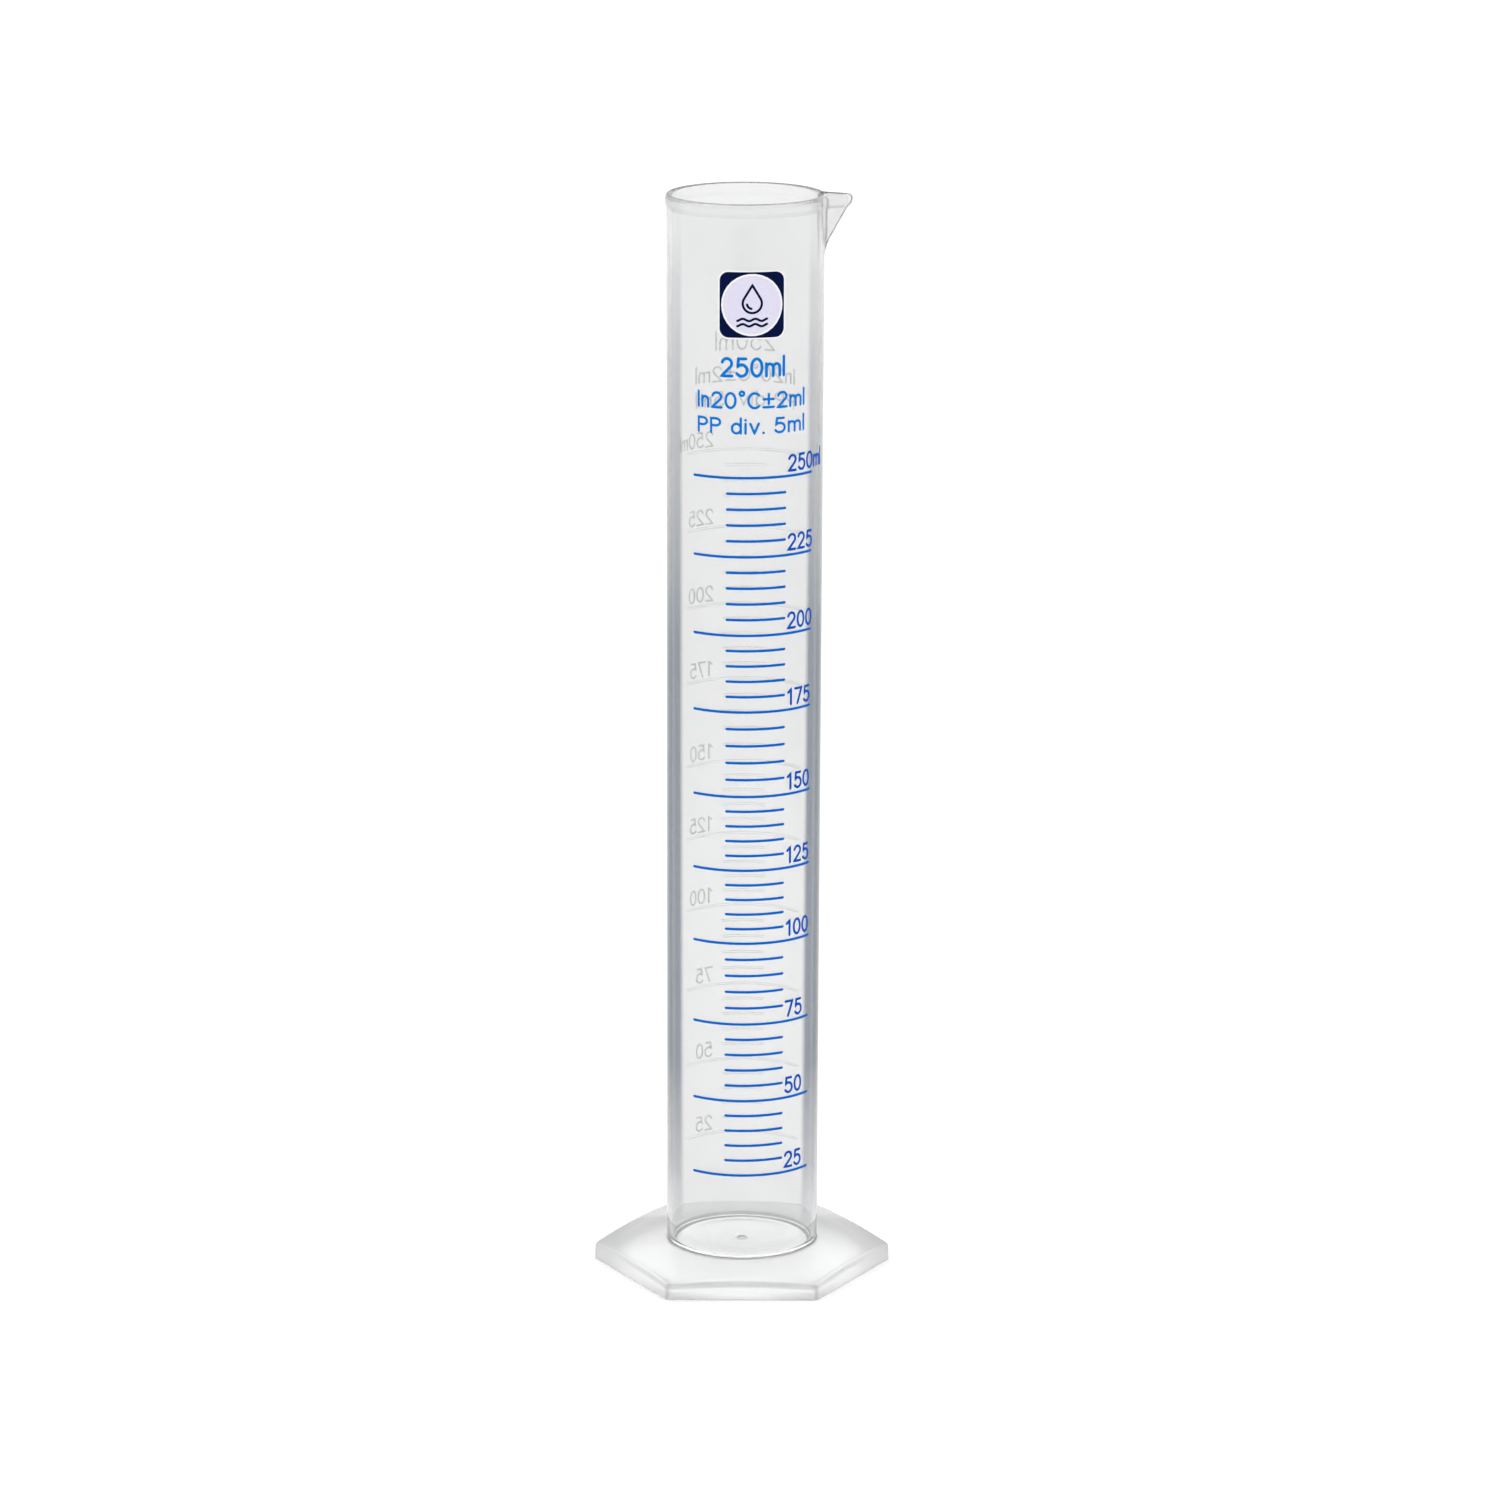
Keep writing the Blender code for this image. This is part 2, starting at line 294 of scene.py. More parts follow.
def sheet_on_tube(name, half_width, half_height_at, center_z, turn, lift, height, material):
    """A thin closed patch bent round the tube; half_height_at gives its outline column by column."""
    columns, rows, least = 48, 10, 0.02
    x = -half_width * np.cos(np.linspace(0, math.pi, columns + 1))
    half = np.maximum(half_height_at(x), least)
    share = np.linspace(-1, 1, rows + 1)
    grid_x = np.repeat(x[:, None], rows + 1, axis=1)
    grid_z = center_z + half[:, None] * share[None, :]
    top = on_tube(grid_x, grid_z, lift + height, turn).reshape(-1, 3)
    low = on_tube(grid_x, grid_z, lift, turn).reshape(-1, 3)
    count = len(top)
    stride = rows + 1
    faces = []
    for c in range(columns):
        for r in range(rows):
            a, b = c * stride + r, (c + 1) * stride + r
            faces.append((a, b, b + 1, a + 1))
            faces.append((count + a, count + a + 1, count + b + 1, count + b))
    edge = [c * stride for c in range(columns + 1)]
    edge += [columns * stride + r for r in range(1, rows + 1)]
    edge += [c * stride + rows for c in range(columns - 1, -1, -1)]
    edge += range(rows - 1, 0, -1)
    for a, b in zip(edge, edge[1:] + edge[:1]):
        faces.append((b, a, count + a, count + b))
    return new_mesh(name, np.concatenate([top, low]), faces, material)


# ---------------------------------------------------------------- strokes


def resampled(points, step, closed):
    """The same path with points at most a step apart, so that it can bend with the tube."""
    points = np.asarray(points, float)
    if closed:
        points = np.concatenate([points, points[:1]])
    lengths = np.linalg.norm(np.diff(points, axis=0), axis=1)
    kept = [points[0]]
    for i, length in enumerate(lengths):
        if length < 1e-9:
            continue
        parts = max(1, math.ceil(length / step))
        kept += [points[i] + (points[i + 1] - points[i]) * k / parts for k in range(1, parts + 1)]
    kept = np.array(kept)
    return kept[:-1] if closed else kept


def mitred_sides(path, width, closed):
    """The two edges of a stroke along a path, mitred at its corners up to a limit."""
    if closed:
        ahead, behind = np.roll(path, -1, axis=0), np.roll(path, 1, axis=0)
    else:
        ahead = np.concatenate([path[1:], path[-1:]])
        behind = np.concatenate([path[:1], path[:-1]])
    first = ahead - path
    second = path - behind
    if not closed:
        first[-1], second[0] = second[-1], first[0]
    first /= np.linalg.norm(first, axis=1)[:, None]
    second /= np.linalg.norm(second, axis=1)[:, None]
    along = first + second
    along /= np.maximum(np.linalg.norm(along, axis=1)[:, None], 1e-9)
    side = np.stack([-along[:, 1], along[:, 0]], axis=1)
    mitre = np.clip(np.sum(along * first, axis=1), MITRE_LIMIT, 1.0)[:, None]
    return path + side * width / 2 / mitre, path - side * width / 2 / mitre


def ribbon(points, width, closed, step):
    """A flat stroke of even width with round ends, as points, faces and outline loops in its own plane."""
    path = resampled(points, step, closed)
    left, right = mitred_sides(path, width, closed)
    verts = list(left) + list(right)
    count = len(path)
    faces = []
    for i in range(count if closed else count - 1):
        j = (i + 1) % count
        faces.append((i, count + i, count + j, j))
    rim = list(range(count - 1, -1, -1))
    other = list(range(count, 2 * count))
    if closed:
        return verts, faces, [rim, other]
    caps = []
    for center, start in ((path[0], left[0]), (path[-1], right[-1])):
        begin = math.atan2(*(start - center)[::-1])
        added = []
        for k in range(1, CAP_POINTS):
            turn = begin + math.pi * k / CAP_POINTS
            verts.append(center + width / 2 * np.array([math.cos(turn), math.sin(turn)]))
            added.append(len(verts) - 1)
        caps.append(added)
    faces.append(tuple([0] + caps[0] + [count]))
    faces.append(tuple([2 * count - 1] + caps[1] + [count - 1]))
    loop = [0] + caps[0] + other + caps[1] + rim[:-1]
    return verts, faces, [loop]


def strokes_on_tube(name, strokes, width, turn, material, lift=INK_LIFT, height=INK_HEIGHT, step=0.5):
    """Strokes (path, closed) in arc length and height, raised off the tube's wall as one object.

    Neighbouring strokes stand at slightly different heights, so that no two tops lie in one place.
    """
    all_verts, all_faces = [], []
    for number, (points, closed) in enumerate(strokes):
        flat, faces, loops = ribbon(points, width, closed, step)
        flat = np.array(flat)
        base = len(all_verts)
        count = len(flat)
        stand = height + number % STROKE_LEVELS * STROKE_STEP
        all_verts += list(on_tube(flat[:, 0], flat[:, 1], lift + stand, turn))
        all_verts += list(on_tube(flat[:, 0], flat[:, 1], lift, turn))
        for face in faces:
            all_faces.append(tuple(base + corner for corner in face))
            all_faces.append(tuple(base + count + corner for corner in reversed(face)))
        for loop in loops:
            for a, b in zip(loop, loop[1:] + loop[:1]):
                all_faces.append((base + b, base + a, base + count + a, base + count + b))
    return new_mesh(name, all_verts, all_faces, material, smooth=False)


# ---------------------------------------------------------------- lettering


def arc(cx, cy, rx, ry, start, end, closed=False):
    """Points about 12 degrees apart along part of an ellipse."""
    count = max(3, int(abs(end - start) / 12))
    turns = np.radians(np.linspace(start, end, count + 1))
    if closed:
        turns = turns[:-1]
    return [(cx + rx * math.cos(t), cy + ry * math.sin(t)) for t in turns]


# Each letter is its width and its strokes, for a height of 1. "o" is the degree sign and "+" plus-minus.
ARCH = arc(0.19, 0.44, 0.19, 0.24, 180, 0)
GLYPHS = {
    "0": (0.56, [(arc(0.28, 0.5, 0.28, 0.5, 90, 450, True), True)]),
    "1": (0.40, [([(0.06, 0.80), (0.28, 1.0), (0.28, 0.0)], False)]),
    "2": (0.56, [(arc(0.28, 0.72, 0.26, 0.28, 168, -38) + [(0.0, 0.0), (0.56, 0.0)], False)]),
    "5": (0.56, [([(0.50, 1.0), (0.11, 1.0), (0.06, 0.55)] + arc(0.27, 0.33, 0.29, 0.33, 125, -148), False)]),
    "7": (0.56, [([(0.0, 1.0), (0.56, 1.0), (0.20, 0.0)], False)]),
    "m": (0.76, [([(0.0, 0.0), (0.0, 0.70)], False),
                 (ARCH + [(0.38, 0.0)], False),
                 ([(x + 0.38, y) for x, y in ARCH] + [(0.76, 0.0)], False)]),
    "n": (0.38, [([(0.0, 0.0), (0.0, 0.70)], False), (ARCH + [(0.38, 0.0)], False)]),
    "l": (0.0, [([(0.0, 0.0), (0.0, 1.08)], False)]),
    "I": (0.0, [([(0.0, 0.0), (0.0, 1.0)], False)]),
    "C": (0.62, [(arc(0.36, 0.5, 0.36, 0.5, 48, 312), False)]),
    "o": (0.24, [(arc(0.12, 0.98, 0.12, 0.13, 90, 450, True), True)]),
    "+": (0.60, [([(0.0, 0.58), (0.60, 0.58)], False),
                 ([(0.30, 0.26), (0.30, 0.92)], False),
                 ([(0.0, 0.04), (0.60, 0.04)], False)]),
    ".": (0.0, [([(0.0, 0.02), (0.02, 0.02)], False)]),
    "P": (0.50, [([(0.0, 0.0), (0.0, 1.0), (0.26, 1.0)]
                  + arc(0.26, 0.75, 0.24, 0.25, 90, -90) + [(0.03, 0.5)], False)]),
    "d": (0.46, [(arc(0.23, 0.34, 0.23, 0.34, 0, 360, True), True), ([(0.46, 0.0), (0.46, 1.05)], False)]),
    "i": (0.0, [([(0.0, 0.0), (0.0, 0.68)], False), ([(0.0, 0.93), (0.0, 0.95)], False)]),
    "v": (0.44, [([(0.0, 0.68), (0.22, 0.0), (0.44, 0.68)], False)]),
    " ": (0.14, []),
}


def lettering(text, height, stroke, left, base_z, gap=0.24):
    """Strokes for a line of text from arc length left, with its baseline at base_z, and the line's width."""
    strokes = []
    scale = height - stroke
    x = left + stroke / 2
    for letter in text:
        width, parts = GLYPHS[letter]
        for points, closed in parts:
            placed = [(x + px * scale, base_z + stroke / 2 + py * scale) for px, py in points]
            strokes.append((placed, closed))
        x += (width + gap) * scale
    return strokes, x - gap * scale + stroke / 2 - left


# ---------------------------------------------------------------- materials


def grey(level, blue=0.0):
    return (level, level + blue / 2, level + blue)


def shader_of(name, **settings):
    made = bpy.data.materials.new(name)
    made.use_nodes = True
    tree = made.node_tree
    shader = tree.nodes["Principled BSDF"]
    for socket, value in settings.items():
        shader.inputs[socket.replace("_", " ")].default_value = value
    return made, tree, shader


def noise(tree, scale, detail=3.0, stretch=(1.0, 1.0, 1.0)):
    """Object-space noise; stretch above 1 squeezes the pattern along that axis."""
    place = tree.nodes.new("ShaderNodeTexCoord")
    mapping = tree.nodes.new("ShaderNodeMapping")
    mapping.inputs["Scale"].default_value = stretch
    made = tree.nodes.new("ShaderNodeTexNoise")
    made.inputs["Scale"].default_value = scale
    made.inputs["Detail"].default_value = detail
    tree.links.new(place.outputs["Object"], mapping.inputs["Vector"])
    tree.links.new(mapping.outputs["Vector"], made.inputs["Vector"])
    return made.outputs["Fac"]


def ramp(tree, fac, *stops):
    made = tree.nodes.new("ShaderNodeValToRGB")
    elements = made.color_ramp.elements
    elements.remove(elements[1])
    elements[0].position = stops[0][0]
    elements[0].color = (*stops[0][1], 1.0)
    for at, color in stops[1:]:
        elements.new(at).color = (*color, 1.0)
    tree.links.new(fac, made.inputs["Fac"])
    return made.outputs["Color"]


def bump(tree, shader, height, strength, distance):
    made = tree.nodes.new("ShaderNodeBump")
    made.inputs["Strength"].default_value = strength
    made.inputs["Distance"].default_value = distance
    tree.links.new(height, made.inputs["Height"])
    tree.links.new(made.outputs["Normal"], shader.inputs["Normal"])


def mixed(tree, kind, a, b, factor=None):
    made = tree.nodes.new("ShaderNodeMix")
    made.data_type = "RGBA"
    made.blend_type = kind
    made.inputs["Factor"].default_value = 1.0
    if factor:
        tree.links.new(factor, made.inputs["Factor"])
    tree.links.new(a, made.inputs["A"])
    tree.links.new(b, made.inputs["B"])
    return made.outputs["Result"]


def height_share(tree):
    """0 on the surface that the foot stands on, 1 at the rim."""
    place = tree.nodes.new("ShaderNodeTexCoord")
    split = tree.nodes.new("ShaderNodeSeparateXYZ")
    span = tree.nodes.new("ShaderNodeMapRange")
    span.inputs["From Max"].default_value = rim_z * MM
    tree.links.new(place.outputs["Object"], split.inputs[0])
    tree.links.new(split.outputs["Z"], span.inputs["Value"])
    return span.outputs["Result"]


def by_height(tree, stops):
    """A grey level that follows (share of the full height, level) stops."""
    return ramp(tree, height_share(tree), *[(share, grey(level)) for share, level in stops])


def on_outer_wall(tree):
    """1 on the tube's outer wall and 0 on its inner wall, by distance from the axis."""
    place = tree.nodes.new("ShaderNodeTexCoord")
    flat = tree.nodes.new("ShaderNodeVectorMath")
    flat.operation = "MULTIPLY"
    flat.inputs[1].default_value = (1.0, 1.0, 0.0)
    radius = tree.nodes.new("ShaderNodeVectorMath")
    radius.operation = "LENGTH"
    outer = tree.nodes.new("ShaderNodeMath")
    outer.operation = "GREATER_THAN"
    outer.inputs[1].default_value = (TUBE_R_BOTTOM - TUBE_WALL / 3) * MM
    tree.links.new(place.outputs["Object"], flat.inputs[0])
    tree.links.new(flat.outputs["Vector"], radius.inputs[0])
    tree.links.new(radius.outputs["Value"], outer.inputs[0])
    return outer.outputs["Value"]


def edge_tinted(tree, color, stops):
    """Painted shade: the outer wall's colour is darkened in bluish bands where it is seen nearly edge-on. The
    effect fades towards foot and mouth.
    """
    facing = tree.nodes.new("ShaderNodeLayerWeight")
    facing.inputs["Blend"].default_value = 0.5
    painted_shade = ramp(tree, facing.outputs["Facing"], *stops)
    both = tree.nodes.new("ShaderNodeMath")
    both.operation = "MULTIPLY"
    tree.links.new(on_outer_wall(tree), both.inputs[0])
    tree.links.new(by_height(tree, EDGE_PAINTED_SHADE_BY_HEIGHT), both.inputs[1])
    return mixed(tree, "MULTIPLY", color, painted_shade, both.outputs["Value"])


def plastic(name, tone_and_shade_stops, haze, density, roughness, edge=None):
    """Natural polypropylene: clear enough to see through, milky, and denser where it is thick.

    tone_and_shade_stops are (height, level) grey stops from the bottom up, painted shade on the tube and the
    foot; edge gives the painted edge shade, and roughness is the lowest and highest.
    """
    made, tree, shader = shader_of(
        name, Transmission_Weight=1.0 - haze, IOR=1.49, Specular_IOR_Level=0.5
    )
    flow = noise(tree, 60.0, 4.0, (1.0, 1.0, 0.15))
    streaks = ramp(tree, flow, (0.3, grey(0.985)), (0.7, grey(1.0)))
    # Grey levels by height; on the tube and the foot they are painted shade
    stops = [(z / rim_z, grey(level, 0.003)) for z, level in tone_and_shade_stops]
    color = mixed(tree, "MULTIPLY", ramp(tree, height_share(tree), *stops), streaks)
    if edge:
        color = edge_tinted(tree, color, edge)
    tree.links.new(color, shader.inputs["Base Color"])
    low, high = roughness
    rough = ramp(tree, noise(tree, 140.0, 3.0), (0.35, grey(low)), (0.65, grey(high)))
    frosted = mixed(tree, "LIGHTEN", rough, by_height(tree, RIM_FROST))
    tree.links.new(frosted, shader.inputs["Roughness"])
    bump(tree, shader, noise(tree, 900.0, 2.0), 0.02, 0.0001)
    absorb = tree.nodes.new("ShaderNodeVolumeAbsorption")
    absorb.inputs["Color"].default_value = (0.70, 0.72, 0.74, 1.0)
    absorb.inputs["Density"].default_value = density
    tree.links.new(absorb.outputs["Volume"], tree.nodes["Material Output"].inputs["Volume"])
    return made


def ink(name, dark, light, roughness=0.42):
    """Screen-printed ink, a little thin and uneven in places."""
    made, tree, shader = shader_of(name, Roughness=roughness, Specular_IOR_Level=0.04)
    body = noise(tree, 1400.0, 3.0)
    tree.links.new(ramp(tree, body, (0.35, dark), (0.7, light)), shader.inputs["Base Color"])
    bump(tree, shader, noise(tree, 4000.0, 2.0), 0.15, 0.00002)
    return made


# The tube's colour carries painted shade: darker towards the top, and darkened bands where its outer wall is
# seen edge-on
tube_plastic = plastic(
    "tube_plastic", TUBE_PAINTED_SHADE, haze=0.14, density=22.0, roughness=(0.02, 0.05), edge=EDGE_PAINTED_SHADE_STOPS
)
raised_plastic = plastic("raised_plastic", RAISED_TINTS, haze=0.45, density=10.0, roughness=(0.25, 0.35))
# The foot's colour carries painted shade, darker near the floor
foot_plastic = plastic("foot_plastic", FOOT_PAINTED_SHADE, haze=0.42, density=4.0, roughness=(0.05, 0.10))
scale_ink = ink("scale_ink", (0.0, 0.115, 0.52), (0.0, 0.140, 0.58))
numeral_ink = ink("numeral_ink", (0.0, 0.070, 0.43), (0.0, 0.090, 0.49))
text_ink = ink("text_ink", (0.0, 0.165, 0.60), (0.0, 0.200, 0.67))
navy_ink = ink("navy_ink", (0.0, 0.003, 0.036), (0.0, 0.006, 0.055))
white_ink = ink("white_ink", (0.86, 0.86, 0.88), (0.93, 0.93, 0.94))
pale_ink = ink("pale_ink", (0.71, 0.69, 0.83), (0.75, 0.73, 0.87))


# ---------------------------------------------------------------- graduations


def scale_heights():
    """{volume: height} of every graduation, from the CAD strips."""
    found = {}
    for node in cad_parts:
        if node.startswith("mark_"):
            low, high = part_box(node)
            found[int(node[5:8])] = (low.z + high.z) / 2 / MM
    return found


def is_long(volume):
    return volume % LONG_EVERY == 0


def numeral_text(volume):
    return "250ml" if volume == 250 else str(volume)


# ---------------------------------------------------------------- vessel


def spout_distance(turn, z, offset):
    """Distance of the spout's face from the axis, at an angle either way from its middle."""
    drop = np.maximum(SPOUT_FULL_Z - z, 0.0)
    center = SPOUT_CENTER_X - drop * SPOUT_KEEL_SLOPE
    tip = max(SPOUT_TIP_R + offset, SPOUT_TIP_R_MIN)
    across = np.sin(np.minimum(turn + SPOUT_HALF_ANGLE, SPOUT_SIDE_LIMIT))
    side = (center * math.sin(SPOUT_HALF_ANGLE) + tip) / across
    square = np.maximum(tip * tip - (center * np.sin(turn)) ** 2, 0.0)
    round_tip = center * np.cos(turn) + np.sqrt(square)
    tangent = math.atan2(tip * math.cos(SPOUT_HALF_ANGLE), center + tip * math.sin(SPOUT_HALF_ANGLE))
    return np.where(turn < tangent, round_tip, side)


def wall_ring(angles, z, offset=0.0, relief=0.0):
    """A ring round the wall and spout. offset 0 is the outer face, and -TUBE_WALL the inner."""
    turn = np.abs(signed(angles))
    spout = np.where(turn > SPOUT_SPREAD, 0.0, spout_distance(turn, z, offset))
    radius = smooth_max(tube_radius(z) + offset, spout, SPOUT_BLEND)
    return ring_points(angles, radius + relief, z)


def spout_columns():
    """Angles from +X: half a degree apart over the spout, 2 degrees apart elsewhere."""
    fine = np.radians(np.linspace(-30, 30, 121))
    coarse = np.radians(np.linspace(32, 328, 149))
    return np.concatenate([fine, coarse])


def rim_rows():
    """(z, offset) over the rim, from the inner wall over the crest and the bead to the outer wall."""
    rows = []
    inner_reach = TUBE_WALL + CREST_OFFSET
    for k in range(9):
        t = math.radians(180 - 90 * k / 8)
        z = rim_z - CREST_INNER_RISE * (1 - math.sin(t))
        rows.append((z, CREST_OFFSET + inner_reach * math.cos(t)))
    outer_reach = BEAD_STEP - CREST_OFFSET
    for k in range(1, 9):
        t = math.radians(90 - 90 * k / 8)
        z = rim_z - CREST_OUTER_RISE * (1 - math.sin(t))
        rows.append((z, CREST_OFFSET + outer_reach * math.cos(t)))
    for k in range(7):
        t = k / 6
        z = rim_z - BEAD_TAPER_TOP - BEAD_TAPER * t
        rows.append((z, BEAD_STEP * (1 - smoothstep(0, 1, t))))
    return rows


def floor_rings(angles):
    """The inside of the floor, from the gate mark to the top of the fillet."""
    rings = [ring_points(angles, radius, FLOOR_Z + up) for radius, up in GATE]
    flat_r = TUBE_R_BOTTOM - TUBE_WALL - FLOOR_FILLET
    rings += [ring_points(angles, radius, FLOOR_Z) for radius in np.linspace(4, flat_r, 4)]
    for k in range(1, 13):
        t = math.radians(-90 + 90 * k / 12)
        z = FLOOR_Z + FLOOR_FILLET + FLOOR_FILLET * math.sin(t)
        radius = tube_radius(z) - TUBE_WALL - FLOOR_FILLET + FLOOR_FILLET * math.cos(t)
        rings.append(ring_points(angles, radius, z))
    return rings


def wall_rings(angles):
    """Up the inside of the wall, over the rim and down the outside to the scale."""
    rim = rim_rows()
    inner = [*np.linspace(FLOOR_Z + FLOOR_FILLET + 4, SPOUT_RINGS_FROM, 30)]
    inner += [*np.linspace(SPOUT_RINGS_FROM + 0.5, rim[0][0] - RIM_RING_GAP, 32)]
    outer = [*np.linspace(rim[-1][0] - RIM_RING_GAP, SPOUT_RINGS_FROM, 30)]
    outer += [*np.linspace(SPOUT_RINGS_FROM - 3, SCALE_RINGS_FROM, 12)]
    rows = [(z, -TUBE_WALL) for z in inner] + rim + [(z, 0.0) for z in outer]
    return [wall_ring(angles, z, offset) for z, offset in rows]


def back_mask(angles, half):
    """1 over the raised scale's width on the back wall, falling to 0 past its ends."""
    from_back = np.abs(signed(angles + math.pi / 2 - BACK_TURN))
    return 1 - smoothstep(half - BACK_END_FADE, half + BACK_END_FADE, from_back)


def relief_rings(angles):
    """Down the outside along the scale, with a ridge on the back wall at every graduation."""
    rings = []
    for volume, z in sorted(scale_heights().items(), reverse=True):
        ridge = RELIEF * back_mask(angles, BACK_LONG_HALF if is_long(volume) else BACK_SHORT_HALF)
        rings += [wall_ring(angles, z + up) for up in (RELIEF_CLEAR, RELIEF_FOOT)]
        rings += [wall_ring(angles, z + up, relief=ridge) for up in (RELIEF_HALF, -RELIEF_HALF)]
        rings += [wall_ring(angles, z - down) for down in (RELIEF_FOOT, RELIEF_CLEAR)]
    return rings


def base_rings(angles):
    """The outside below the scale, its rounded lower edge and the flat base."""
    low = TUBE_BOTTOM_Z + BASE_ROUND
    rings = [wall_ring(angles, z) for z in np.linspace(SCALE_RINGS_TO, low, 8)]
    for k in range(1, 5):
        t = math.radians(-90 * k / 4)
        radius = TUBE_R_BOTTOM - BASE_ROUND + BASE_ROUND * math.cos(t)
        rings.append(ring_points(angles, radius, low + BASE_ROUND * math.sin(t)))
    rings += [ring_points(angles, radius, TUBE_BOTTOM_Z) for radius in (16, 10, 4)]
    return rings


def build_vessel():
    angles = spout_columns()
    rings = floor_rings(angles) + wall_rings(angles) + relief_rings(angles) + base_rings(angles)
    poles = (0, 0, FLOOR_Z - GATE_DEPTH), (0, 0, TUBE_BOTTOM_Z)
    made = skin("vessel_moulding", np.array(rings), poles, tube_plastic)
    attach(made, "tube_plastic", "vessel")


# ---------------------------------------------------------------- foot


def foot_edge(angle, inset=0.0):
    """Distance from the axis to a hexagon with rounded corners, one of them on +X, moved in by inset."""
    corner_r = max(FOOT_CORNER_R - inset, FOOT_CORNER_R_MIN)
    slant = math.cos(math.radians(30))
    sharp = foot_r + FOOT_CORNER_R / slant - FOOT_CORNER_R
    apothem = sharp * slant - inset
    from_mid = np.abs(np.mod(angle, math.radians(60)) - math.radians(30))
    center = (apothem - corner_r) / slant
    flat = apothem / np.cos(from_mid)
    to_corner = math.radians(30) - from_mid
    square = np.maximum(corner_r**2 - (center * np.sin(to_corner)) ** 2, 0.0)
    rounded = center * np.cos(to_corner) + np.sqrt(square)
    start = math.atan2(center / 2, apothem)
    return np.where(from_mid > start, rounded, flat)


def dome_height(radius):
    """The foot's top is a shallow dome, very nearly part of a large sphere."""
    return FOOT_TOP_Z - (np.maximum(radius, TUBE_R_BOTTOM) ** 2 - TUBE_R_BOTTOM**2) / (2 * FOOT_DOME_R)


def drafted(radius, z):
    """The skirt leans in towards its top."""
    return radius - FOOT_DRAFT * z / FOOT_TOP_Z


def foot_columns():
    """Angles clustered at the six corners."""
    near, middle, far = np.linspace(0, 5, 13), np.linspace(5, 55, 26), np.linspace(55, 60, 13)
    sector = np.concatenate([near[:-1], middle[:-1], far[:-1]])
    return np.radians(np.concatenate([sector + 60 * k for k in range(6)]))


def foot_top_rows(edge):
    """(radius, height) up the hole, over the dome and round its outer edge."""
    start = HOLE_R + HOLE_TOP_CHAMFER
    shoulder = drafted(edge - FOOT_EDGE_R, FOOT_SHOULDER_Z)
    rows = [(HOLE_R, FOOT_TOP_Z - FOOT_WALL + HOLE_LOW_CHAMFER), (HOLE_R, FOOT_TOP_Z - HOLE_TOP_CHAMFER)]
    for share in np.linspace(0, 1, 18):
        radius = start + (shoulder - start) * share
        rows.append((radius, dome_height(radius)))
    start_z = dome_height(shoulder)
    end_z = dome_height(edge) - FOOT_EDGE_R
    reach = drafted(edge, end_z) - shoulder
    for k in range(1, 7):
        t = math.radians(90 * k / 6)
        rows.append((shoulder + reach * math.sin(t), start_z + (end_z - start_z) * (1 - math.cos(t))))
    return rows


def foot_skirt_rows(edge, inner):
    """(radius, height) down the outside of the skirt and across its lower lip."""
    top = dome_height(edge) - FOOT_EDGE_R
    rows = []
    for share in (0.35, 0.7, 0.93):
        z = top * (1 - share)
        rows.append((drafted(edge, z), z))
    rows += [(edge - into, z) for into, z in SKIRT_LIP]
    rows += [(inner + into, z) for into, z in reversed(SKIRT_LIP)]
    return rows


def foot_under_rows(edge, inner):
    """(radius, height) up the inside of the skirt and along the dome's underside to the hole."""
    under = dome_height(edge) - FOOT_WALL
    rows = [(inner, 0.3), (inner, under * 0.6)]
    rows += [(inner - into, under - down) for into, down in UNDER_FILLET]
    start = inner - UNDER_FILLET_END
    end = HOLE_R + HOLE_LOW_CHAMFER
    for share in np.linspace(0.04, 1, 12):
        radius = start + (end - start) * share
        rows.append((radius, dome_height(radius) - FOOT_WALL))
    return rows


def build_foot():
    """A domed hexagonal shell with a skirt, open underneath, its hole round the tube's base."""
    angles = foot_columns()
    edge = foot_edge(angles)
    inner = foot_edge(angles, FOOT_WALL)
    rows = foot_top_rows(edge) + foot_skirt_rows(edge, inner) + foot_under_rows(edge, inner)
    rings = [ring_points(angles, radius, z) for radius, z in rows]
    made = skin("foot_shell", np.array(rings), None, foot_plastic)
    attach(made, "foot_plastic", "foot")


# ---------------------------------------------------------------- printed scale and text


def build_scale():
    for volume, z in scale_heights().items():
        half = LONG_HALF if is_long(volume) else SHORT_HALF
        reach = half * tube_radius(z)
        line = [([(-reach, z), (reach, z)], False)]
        made = strokes_on_tube(f"ink_{volume:03d}ml", line, MARK_STROKE, SCALE_TURN, scale_ink, step=0.6)
        attach(made, "scale_ink", f"mark_{volume:03d}ml")
        if is_long(volume):
            left = (NUMERAL_LEFT - SCALE_TURN) * tube_radius(z)
            strokes, _ = lettering(numeral_text(volume), NUMERAL_HEIGHT, NUMERAL_FIT, left, z + NUMERAL_RISE)
            made = strokes_on_tube(f"numeral_{volume:03d}", strokes, NUMERAL_STROKE, SCALE_TURN, numeral_ink)
            attach(made, "scale_ink")


def squeezed(strokes, left, share):
    """The same strokes with their widths scaled about the arc length left."""
    return [([(left + (x - left) * share, z) for x, z in points], closed) for points, closed in strokes]


def build_text():
    """Each printed line is centred and fitted to its width, and stands raised on the back wall as well."""
    for name, text, base_z, height, stroke, width, gap in TEXT_LINES:
        left = -width / 2
        strokes, natural = lettering(text, height, stroke, left, base_z, gap)
        strokes = squeezed(strokes, left, width / natural)
        attach(strokes_on_tube(name, strokes, stroke, TEXT_TURN, text_ink), "scale_ink")
        raised_piece(f"raised_{name}", strokes)


# ---------------------------------------------------------------- raised numerals and text


def raised_piece(name, strokes):
    """Letters or numerals standing off the back wall, moulded with it."""
    made = strokes_on_tube(
        name, strokes, RAISED_STROKE, BACK_TURN, raised_plastic, lift=RAISED_LIFT, height=RAISED_HEIGHT
    )
    attach(made, "tube_plastic")


